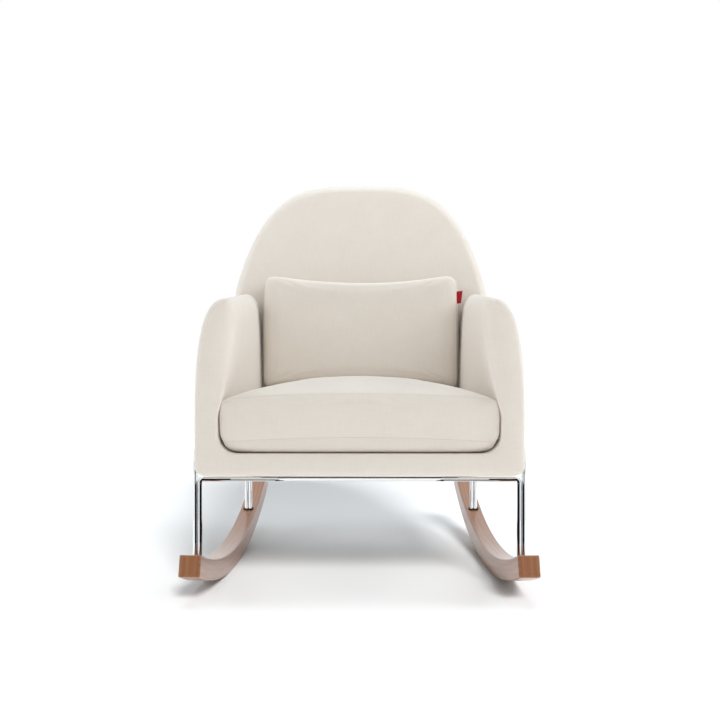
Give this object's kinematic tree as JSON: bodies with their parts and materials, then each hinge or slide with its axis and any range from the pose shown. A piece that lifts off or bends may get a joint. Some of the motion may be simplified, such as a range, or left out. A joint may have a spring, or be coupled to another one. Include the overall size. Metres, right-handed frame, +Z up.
{
  "type": "upholstered rocking chair",
  "caption": "Upholstered tub rocking chair with an arched back, loose seat cushion and lumbar pillow on a chrome rod base with curved walnut rockers.",
  "frame": {"origin": "middle of the footprint at floor level", "axes": "+Z up, -Y is the way the chair faces, +X is the sitter's left"},
  "size_m": [0.6968, 0.9474, 0.9375],
  "materials": {
    "walnut": "satin",
    "chrome": "polished",
    "zinc_steel": "satin",
    "dark_steel": "satin",
    "cream_fabric": "matte",
    "beech": "matte",
    "plywood": "matte",
    "black_cloth": "matte",
    "deck_felt": "matte",
    "tab_red": "matte"
  },
  "bodies": {
    "chair": {"arm_pad_left": "cream_fabric", "arm_pad_right": "cream_fabric", "arm_panel_left": "plywood", "arm_panel_right": "plywood", "back_panel": "plywood", "corner_block_front_left": "beech", "corner_block_front_right": "beech", "corner_block_rear_left": "beech", "corner_block_rear_right": "beech", "deck_pad": "deck_felt", "dust_cover": "black_cloth", "front_border": "cream_fabric", "front_loop": "chrome", "inside_back": "cream_fabric", "leg_collar_front_left": "dark_steel", "leg_collar_front_right": "dark_steel", "leg_collar_rear_left": "dark_steel", "leg_collar_rear_right": "dark_steel", "leg_nut_front_left": "zinc_steel", "leg_nut_front_right": "zinc_steel", "leg_nut_rear_left": "zinc_steel", "leg_nut_rear_right": "zinc_steel", "mount_bolt_front_left": "dark_steel", "mount_bolt_front_right": "dark_steel", "mount_bolt_rear_left": "dark_steel", "mount_bolt_rear_right": "dark_steel", "mount_plate_front_left": "zinc_steel", "mount_plate_front_right": "zinc_steel", "mount_plate_rear_left": "zinc_steel", "mount_plate_rear_right": "zinc_steel", "outside_back": "cream_fabric", "rear_loop": "chrome", "rocker_left": "walnut", "rocker_right": "walnut", "seat_front_rail": "beech", "seat_rear_rail": "beech", "seat_side_rail_left": "beech", "seat_side_rail_right": "beech", "seat_spring_1": "zinc_steel", "seat_spring_2": "zinc_steel", "seat_spring_3": "zinc_steel", "seat_spring_4": "zinc_steel", "side_loop_left": "chrome", "side_loop_right": "chrome", "spring_clip_front_1": "zinc_steel", "spring_clip_front_2": "zinc_steel", "spring_clip_front_3": "zinc_steel", "spring_clip_front_4": "zinc_steel", "spring_clip_rear_1": "zinc_steel", "spring_clip_rear_2": "zinc_steel", "spring_clip_rear_3": "zinc_steel", "spring_clip_rear_4": "zinc_steel"},
    "seat_cushion": {"seat_cushion": "cream_fabric"},
    "lumbar_pillow": {"lumbar_pillow": "cream_fabric", "pillow_tab": "tab_red"}
  },
  "joints": [
    {"name": "cushion_lift_out", "type": "slide", "parent": "chair", "child": "seat_cushion", "axis": [0, -0.9962, 0.0872], "range_m": [0, 0.55]},
    {"name": "pillow_lift_off", "type": "slide", "parent": "chair", "child": "lumbar_pillow", "axis": [0, -0.9703, 0.2419], "range_m": [0, 0.4]}
  ]
}
